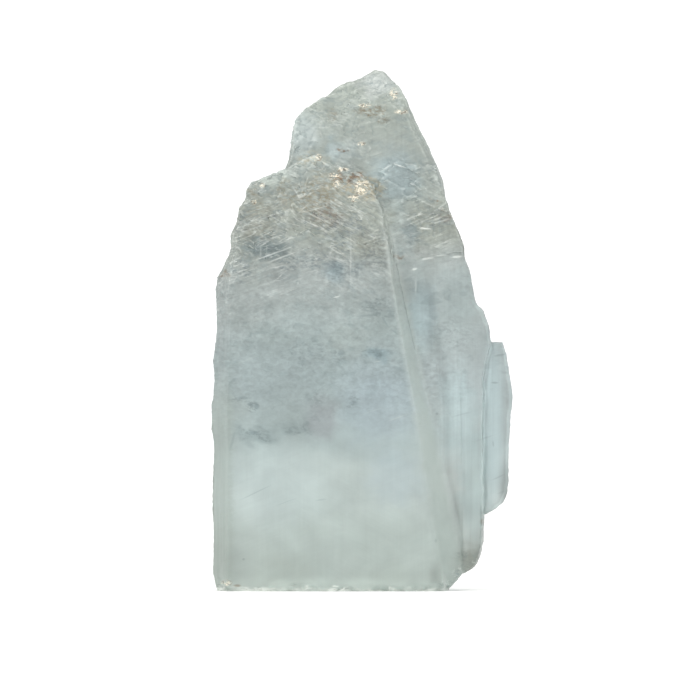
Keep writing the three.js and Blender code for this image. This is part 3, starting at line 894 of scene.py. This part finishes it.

# Painted glints: broken bits, painted cream where they catch the light: middle, reach.
PAINTED_GLINTS = [
    ((7.8, 124.0), (1.4, 2.0)),
    ((0.6, 121.2), (2.4, 0.7)),
    ((9.8, 119.6), (2.4, 0.8)),
    ((-0.2, 111.6), (1.4, 0.7)),
    ((-10.9, 108.2), (1.2, 1.2)),
    ((-4.8, 105.2), (1.8, 0.8)),
    ((-7.0, 103.5), (2.0, 1.1)),
    ((-6.5, 101.5), (1.3, 1.6)),
    ((-25.0, 101.1), (1.1, 0.9)),
    ((-0.2, 100.6), (2.4, 2.6)),
    ((-2.2, 97.9), (2.2, 1.2)),
    ((-27.0, 97.0), (1.1, 0.8)),
    ((-33.9, 2.1), (1.9, 1.0)),
]


def batches(marks):
    return [marks[first:first + BATCH] for first in range(0, len(marks), BATCH)]


def gathered(slab, shape, marks, join=Field.over):
    """Several marks joined, on the faces that look forward: the strongest at each place, or their sum."""
    total = None
    for batch in batches(marks):
        late = slab.later(total)
        for *mark, strength in batch:
            where = shape(late, *mark) * strength
            total = where if total is None else join(total, where)
    return total * slab.front


def painted(slab, shape, marks, colour, where):
    """Marks laid over a colour one by one, each with its own colour, as far as a field allows."""
    for batch in batches(marks):
        late = slab.later(colour)
        for middle, reach, tint, strength in batch:
            colour = paint(colour, shape(late, middle, reach) * where * strength, tint)
    return colour


def clouded(slab, plate):
    """The body of the crystal, with the patches, stains, specks, soft tones, painted light and shade, and
    wisps in it.
    """
    colour = ramp(slab.z + (slab.cloud((16, 12, 12), 1) - 0.5) * 24, BODY)
    colour = painted(slab, Surface.patch, PATCHES, colour, slab.front)
    grains = slab.grain(-12, 1.6, 0.6, 6) + (slab.cloud((0.8, 4, 0.6), 7, 4.0) - 0.5) * 0.8
    mottled = (grains * (0.25 + 0.75 * slab.z.step(15, 40))).step(-0.2, 0.2) * slab.y.step(6, 0)
    colour = painted(slab, Surface.patch, STAINS, colour, mottled)
    colour = painted(slab, Surface.speck, SPECKS, colour, slab.front)
    # Painted light and shade, with the crystal's own lighter and darker tones.
    colour = shaded(colour, gathered(slab, Surface.speck, TONES_AND_PAINTED_LIGHT, Field.__add__) + 1)
    clouds = slab.cloud((9, 8, 7), 2, 5.0, 0.4) - 0.5
    colour = shaded(colour, clouds * 0.5 + 1)
    smudges = slab.cloud((3.4, 8, 2.0), 3, 4.0, 0.6).step(0.52, 0.72)
    colour = paint(colour, smudges * slab.z.step(38, 60) * 0.4, SLATE)
    wisps = gathered(slab, Surface.patch, WISPS) * grains.step(-0.06, 0.12)
    colour = paint(colour, wisps * 0.75, DUSK)
    rim = (slab.x + grains * 1.8).step(-31.2, -33.8) * slab.z.step(62, 40) * slab.front
    colour = paint(colour, rim * 0.6, OLIVE)
    flecks = slab.cloud((1.3, 8, 0.9), 4, 4.0, 0.6) - 0.5
    return shaded(colour, flecks * slab.z.step(30, 56) * plate * 0.85 + 1)


def threads(slab, torn, rising_here, seed):
    """Fibres and cleavage traces, thick in the torn tops and rare below."""
    standing = slab.z.step(66, 80)
    falling_here = 1 - rising_here
    gaps = slab.cloud((5, 6, 4), seed + 5, 3.0).step(0.36, 0.6)
    falling = slab.hairs(-25, 9, 1.1, 0.035, seed) * falling_here
    crossing = slab.hairs(-42, 6, 0.9, 0.035, seed + 1) * falling_here
    rising = slab.hairs(20, 11, 1.1, 0.035, seed + 2) * rising_here
    upright = slab.hairs(82, 12, 1.3, 0.03, seed + 3) * (1 - gaps)
    return falling.over(crossing * 0.7).over(rising).over(upright * standing * 0.5) * gaps * torn


def sheen(slab, rising_here):
    """Soft streaks, lighter and darker than the rest, along the same lines."""
    falling = slab.grain(-25, 7, 0.7, 31)
    rising = slab.grain(20, 8, 0.6, 32)
    return falling + rising_here * (rising - falling)


def fibres(slab, torn, rising_here):
    """Light and dark threads, fewer on two smoother patches of the torn tops."""
    smoother = slab.speck((10, 101), (11, 13)).over(slab.speck((-15, 112), (7, 9)))
    busy = 1 - 0.8 * smoother * slab.front
    light = threads(slab, 0.1 + torn * 0.9, rising_here, 51)
    dark = threads(slab, torn, rising_here, 61)
    return light * busy, dark * busy


def painted_glints_and_burns(slab):
    """Painted glints on the bits that catch the light, and the burnt-looking stains between them."""
    painted_glint_spots = gathered(slab, Surface.speck, [(*glint, 1.0) for glint in PAINTED_GLINTS])
    shards = slab.cloud((1.7, 3, 0.8), 9, 3.0, 1.2) - 0.5
    bright = painted_glint_spots * abs(shards).step(0.045, 0.012)
    burnt = painted_glint_spots.step(0.0, 0.4) * shards.step(0.05, 0.11)
    return bright, burnt


def slanting_facet(slab):
    """The beige of the facet, which is partly painted light, the veins right of its edge, and where the edges
    are soft.
    """
    across = slab.x + slab.z * FACET_SLANT + (slab.cloud((2, 3, 2.6), 23, 4.0) - 0.5) * 1.2
    tapered = across + slab.z * FACET_TAPER
    # The facet's pale beige is partly its own colour and partly painted light that makes up for the shade its
    # slant is in.
    beige = across.step(FACET_EDGE - 1, FACET_EDGE + 1.6) * tapered.step(FACET_EDGE + 8, FACET_EDGE + 5)
    beige = beige * slab.front * slab.z.step(101, 92) * (0.6 + 0.5 * slab.cloud((3, 3, 4), 31, 4.0))
    veined = across.step(FACET_EDGE + 2, FACET_EDGE + 6) * slab.front
    whole = across.step(*FACET_LEFT) * tapered.step(*FACET_RIGHT) * slab.z.step(*FACET_TOP)
    seam = slab.x.step(*SEAM_LEFT) * slab.z.step(66, 58) * slab.z.step(*SEAM_FOOT)
    return beige, veined, whole.over(seam)


def worn_edges_and_crease_shade(slab, torn, soft):
    """Edges that stand out, and painted shade in the creases between them, away from the soft ones."""
    crest = slab.attribute("crest")
    edges = 1 - 0.9 * soft
    raised = crest.step(0.02, 0.13) * (0.05 + 0.7 * torn)
    # Painted shade: the creases in the torn tops are darkened.
    painted_crease_shade = crest.step(-0.015, -0.09) * torn
    return raised * edges, painted_crease_shade * edges


def foot_chips_and_painted_light(slab):
    """The foot's bruised rim, chipped more in some places than in others; its whitening is partly painted
    light over the shade of its down-turned faces.
    """
    height = slab.z + (slab.cloud((2.2, 2.2, 1.2), 25, 5.0, 0.8) - 0.5) * 4.4
    return height.step(1.1, 0.3) * (0.35 + 0.65 * slab.cloud((6, 6, 6), 29, 2.0).step(0.42, 0.58))


class Features:
    """What lies on the slab: fields that its colour, clearness, gloss and fine relief share."""

    def __init__(self, slab):
        wander = (slab.cloud((9, 20, 14), 11, 2.0) - 0.5) * 16
        self.torn = (slab.z - slab.x * 0.2 + wander).step(62, 92)
        # Flecks, sheen and fibres are stronger on the front plate than behind it.
        self.plate = 0.45 + 0.55 * slab.y.step(BLADE_FRONT - 0.3, BLADE_FRONT - 1.2)
        # Fibres rise to the right in some places, and fall in the others.
        self.rising_here = (slab.cloud((13, 9, 11), 12, 2.0) + abs(slab.x + 4) * 0.014).step(0.55, 0.72)
        self.light_fibres, self.dark_fibres = fibres(slab, self.torn, self.rising_here)
        self.light = gathered(slab, Surface.line, LIGHT_LINES)
        self.dark = gathered(slab, Surface.line, DARK_LINES)
        self.bright, self.burnt = painted_glints_and_burns(slab)
        self.facet, self.veined, soft = slanting_facet(slab)
        self.raised, self.painted_crease_shade = worn_edges_and_crease_shade(slab, self.torn, soft)
        # From the blade's right edge outwards, the sides that look right are painted lighter: painted light
        # where the studio light leaves them in shade.
        self.lit = slab.east.step(0.2, 0.6) * slab.x.step(26.5, 28.5) * slab.z.step(16, 24)
        self.chipped_and_painted_light = foot_chips_and_painted_light(slab)
        self.striae = slab.grain(90, 22, 0.8, 15)


def streaked(slab, its):
    """The body's colour with the striae, sheen, painted light, facet, crumbs and lines over it."""
    # The flake is painted paler, most of all near its left edge: partly its own pale blue, partly painted
    # light over the shade beside the seam.
    flake_painted_light = slab.speck((32.6, 42), (3.6, 30)) * slab.front
    colour = paint(clouded(slab, its.plate), flake_painted_light * 0.5, AQUA_PALE)
    lines = its.striae * (0.10 + 0.18 * its.veined)
    lines = lines + sheen(slab, its.rising_here) * its.plate * (0.1 + 0.5 * its.torn)
    # Painted light: a light stripe beside the seam, where the step shades the flake, and a lighter foot row,
    # where the underside is in shade.
    seam_painted_light = slab.line((30.4, 23), (30.8, 44), 0.9).over(slab.line((30.8, 44), (32.1, 61), 0.9)) * slab.front
    colour = shaded(colour, lines + 0.25 * its.lit + 0.2 * seam_painted_light + 0.16 * slab.z.step(4.5, 1.5) + 1)
    # The facet in beige, partly painted light.
    colour = paint(colour, its.facet * 0.85, paint(BEIGE_LOW, slab.z.step(15, 75), BEIGE))
    crumbled = gathered(slab, Surface.speck, CRUMBS)
    crumbs = slab.cloud((1.0, 2.0, 0.6), 35, 4.0, 0.8)
    colour = paint(colour, crumbled * crumbs.step(0.46, 0.36) * 0.7, SLATE)
    colour = paint(colour, crumbled * crumbs.step(0.54, 0.64) * 0.7, WHITE)
    return paint(colour, its.dark, SLATE)


def finished_colour(slab, its):
    """The colour with the fibres, edges, painted shade in the creases, chips that are partly painted light,
    and painted glints on top.
    """
    # Dark fibres, and painted shade in the creases, laid on in slate.
    colour = paint(streaked(slab, its), (its.dark_fibres * its.plate).over(its.painted_crease_shade * 0.8) * 0.45, SLATE)
    colour = paint(colour, its.light_fibres * its.plate * 0.38, WHITE)
    colour = paint(colour, its.raised * 0.22, WHITE)
    colour = paint(colour, its.light * 0.6, WHITE)
    # The chipped rim in white: partly real bruising, partly painted light over its shaded underside.
    colour = paint(colour, its.chipped_and_painted_light * 0.5, WHITE)
    dusty = slab.cloud((1.1, 1.1, 0.6), 27, 4.0).step(0.56, 0.68)
    colour = paint(colour, its.chipped_and_painted_light * dusty * 0.5, OCHRE)
    colour = paint(colour, its.burnt * 0.5, RUST)
    # Painted highlights: the glints, in cream.
    return paint(colour, its.bright, PAINTED_GLINT_CREAM)


def clearness(slab, its):
    """How see-through the surface is: less so where it is torn, chipped, hazy or marked."""
    haze = slab.patch((22, 52), (11, 40)) * 0.5
    marks = 0.2 * its.light_fibres + 0.2 * its.raised + 0.25 * its.light + 0.4 * its.bright + 0.19 * its.facet
    veils = 0.22 * its.torn + 0.4 * its.chipped_and_painted_light + 0.2 * haze + marks
    return (CLEARNESS - veils).step(0.0, 1.0)


def roughness(slab, its):
    matte = 0.12 * its.torn + 0.05 * its.facet + 0.12 * slab.back
    return ROUGHNESS + matte + 0.12 * slab.cloud((5, 5, 5), 17, 4.0).step(0.4, 0.75)


def fine_relief(slab, its):
    """Bumps that are finer than the mesh: a grain in the torn tops, and striae all over."""
    height = slab.cloud((1.2, 1.2, 1.2), 19, 4.0) * slab.z.step(62, 92) + its.striae * 0.5
    bump = slab.tree.nodes.new("ShaderNodeBump")
    bump.inputs["Distance"].default_value = RELIEF * MM
    bump.inputs["Strength"].default_value = 0.6
    plug(slab.tree, bump.inputs["Height"], height)
    return Field(slab.tree, bump.outputs[0])


def absorption(tree):
    """Light turns blue-green as it goes through the crystal."""
    depth = tree.nodes.new("ShaderNodeVolumeAbsorption")
    depth.inputs["Color"].default_value = (*ABSORBED, 1)
    depth.inputs["Density"].default_value = DENSITY
    return Field(tree, depth.outputs[0])


def selenite():
    material = bpy.data.materials.new("cloudy_selenite")
    material.use_nodes = True
    tree = material.node_tree
    shader = tree.nodes["Principled BSDF"]
    slab = Surface(tree)
    its = Features(slab)
    plug(tree, shader.inputs["Base Color"], finished_colour(slab, its))
    plug(tree, shader.inputs["Transmission Weight"], clearness(slab, its))
    plug(tree, shader.inputs["Roughness"], roughness(slab, its))
    plug(tree, shader.inputs["Normal"], fine_relief(slab, its))
    shader.inputs["IOR"].default_value = REFRACTION
    plug(tree, tree.nodes["Material Output"].inputs["Volume"], absorption(tree))
    return material


# ---- Stage ----
def floor():
    """A pale, plain board that meets the white studio far behind the slab."""
    mesh = bpy.data.meshes.new("floor")
    half = 3.5  # metres
    corners = [(-half, -half, 0), (half, -half, 0), (half, half, 0), (-half, half, 0)]
    mesh.from_pydata(corners, [], [(0, 1, 2, 3)])
    board = bpy.data.objects.new("floor", mesh)
    board.location.z = CAD_BOX[0].z
    bpy.context.scene.collection.objects.link(board)
    matte = bpy.data.materials.new("floor")
    matte.use_nodes = True
    shader = matte.node_tree.nodes["Principled BSDF"]
    shader.inputs["Base Color"].default_value = (0.95, 0.95, 0.95, 1)
    shader.inputs["Roughness"].default_value = 0.9
    shader.inputs["Specular IOR Level"].default_value = 0.2
    shader.inputs["Emission Color"].default_value = (1, 1, 1, 1)
    shader.inputs["Emission Strength"].default_value = 0.12
    mesh.materials.append(matte)


def world():
    """A white studio, a little dimmer low down and on the right, where nothing but the slab shows it."""
    sky = bpy.data.worlds.new("studio")
    sky.use_nodes = True
    tree = sky.node_tree
    background = tree.nodes["Background"]
    origin = tree.nodes.new("ShaderNodeTexCoord")
    side = vector("DOT_PRODUCT", Field(tree, origin.outputs["Generated"]), (-0.45, -0.2, 0.87))
    light = paint((0.88, 0.90, 0.92), side.step(-1.0, 0.9), (1.18, 1.17, 1.15))
    seen = Field(tree, tree.nodes.new("ShaderNodeLightPath").outputs["Is Camera Ray"])
    plug(tree, background.inputs["Color"], paint(light, seen, (1.2, 1.2, 1.2)))
    bpy.context.scene.world = sky


def softbox(name, place, size, watts):
    """A square area light, pointed at the middle of the slab."""
    data = bpy.data.lights.new(name, "AREA")
    data.size = size
    data.energy = watts
    lamp = bpy.data.objects.new(name, data)
    lamp.location = place
    aim = Vector((0, 0, HEIGHT * MM / 2)) - lamp.location
    lamp.rotation_euler = aim.to_track_quat("-Z", "Y").to_euler()
    bpy.context.scene.collection.objects.link(lamp)


def camera():
    data = bpy.data.cameras.new("camera")
    data.sensor_width = SENSOR
    data.lens = SENSOR * CAMERA_DISTANCE / VIEW_WIDTH
    view = bpy.data.objects.new("camera", data)
    x, z = VIEW_MIDDLE
    view.location = (x * MM, (VIEW_DEPTH - CAMERA_DISTANCE) * MM, z * MM)
    view.rotation_euler = (math.pi / 2, 0, 0)
    bpy.context.scene.collection.objects.link(view)
    bpy.context.scene.camera = view


block = slab_piece()
block.data.materials.clear()
block.data.materials.append(selenite())
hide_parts("selenite_slab")
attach(block, "root")

floor()
world()
softbox("key", (-0.5, -1.0, 1.1), 0.6, 5)
camera()
bpy.context.scene.view_settings.view_transform = "Standard"
